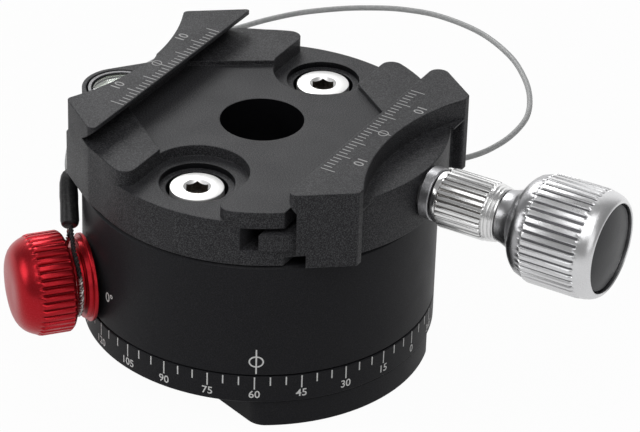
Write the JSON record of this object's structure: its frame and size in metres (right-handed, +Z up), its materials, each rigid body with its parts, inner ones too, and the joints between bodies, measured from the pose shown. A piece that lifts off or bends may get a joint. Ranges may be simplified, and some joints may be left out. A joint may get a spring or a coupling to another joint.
{
  "type": "panoramic tripod head",
  "caption": "Indexing pan head with a drum on a scale base, a screw-knob dovetail clamp, a bubble level, a red index knob and its wire lanyard.",
  "frame": {"origin": "on the pan axis, in the plane that the base stands on", "axes": "+Z up along the pan axis, +X along the clamp knob's axis, +Y along the clamp channel"},
  "size_m": [0.1039, 0.1076, 0.0468],
  "materials": {
    "black_anodised": "matte black anodised aluminium, fine bead-blast grain",
    "red_anodised": "satin red anodised aluminium",
    "satin_aluminium": "satin turned aluminium",
    "polished_chrome": "polished",
    "bright_steel": "bright stainless steel",
    "dark_steel": "plain steel, dull",
    "brass": "machined",
    "black_plastic": "black, slightly glossy",
    "coated_wire": "clear coated steel wire",
    "level_glass": "clear domed lens",
    "level_fluid": "pale green fluid"
  },
  "bodies": {
    "base": {"base_plate": "black_anodised", "tripod_bushing": "bright_steel", "index_ring": "brass", "base_screw_1": "dark_steel", "base_screw_2": "dark_steel", "base_screw_3": "dark_steel", "retaining_nut": "bright_steel", "lower_washer": "brass", "upper_washer": "brass"},
    "drum": {"drum_housing": "black_anodised", "clamp_body": "black_anodised", "clamp_screw_front": "bright_steel", "clamp_screw_back": "bright_steel", "level_cup": "black_anodised", "level_fluid": "level_fluid", "level_lens": "level_glass", "lanyard_anchor": "bright_steel", "lanyard_wire": "coated_wire", "jaw_spring_front": "bright_steel", "jaw_spring_back": "bright_steel"},
    "moving_jaw": {"moving_jaw": "black_anodised", "guide_pin_front": "bright_steel", "guide_pin_back": "bright_steel", "spindle_collar": "polished_chrome"},
    "clamp_knob": {"clamp_spindle": "dark_steel", "knob_sleeve": "polished_chrome", "clamp_knob": "satin_aluminium", "knob_cap": "black_plastic"},
    "index_carriage": {"lanyard_loop": "bright_steel", "lanyard_ferrule": "black_plastic"},
    "index_knob": {"index_knob": "red_anodised", "plunger_body": "brass", "plunger_spring": "bright_steel"},
    "index_pin": {"index_pin": "bright_steel"}
  },
  "joints": [
    {"name": "pan", "type": "hinge", "parent": "base", "child": "drum", "pos_m": [0, 0, 0], "axis": [0, 0, 1], "continuous": true},
    {"name": "jaw_slide", "type": "slide", "parent": "drum", "child": "moving_jaw", "axis": [1, 0, 0], "range_m": [-0.0019, 0.0019], "deforming": ["jaw_spring_front", "jaw_spring_back"]},
    {"name": "knob_spin", "type": "hinge", "parent": "moving_jaw", "child": "clamp_knob", "pos_m": [0, 0, 0.0377], "axis": [1, 0, 0], "range_deg": [-684, 684]},
    {"name": "index_travel", "type": "slide", "parent": "drum", "child": "index_carriage", "axis": [-0.6561, -0.7547, 0], "range_m": [0, 0.004]},
    {"name": "index_spin", "type": "hinge", "parent": "index_carriage", "child": "index_knob", "pos_m": [0, 0, 0.0159], "axis": [-0.6561, -0.7547, 0], "range_deg": [0, 1440]},
    {"name": "pin_plunge", "type": "slide", "parent": "index_knob", "child": "index_pin", "axis": [-0.6561, -0.7547, 0], "range_m": [0, 0.001], "stiffness_N_per_m": 300, "springref_m": -0.002, "deforming": ["plunger_spring"]}
  ],
  "couplings": [
    {"joint": "knob_spin", "follows": "jaw_slide", "rad_per_m": 6283.2},
    {"joint": "index_spin", "follows": "index_travel", "rad_per_m": 6283.2}
  ]
}
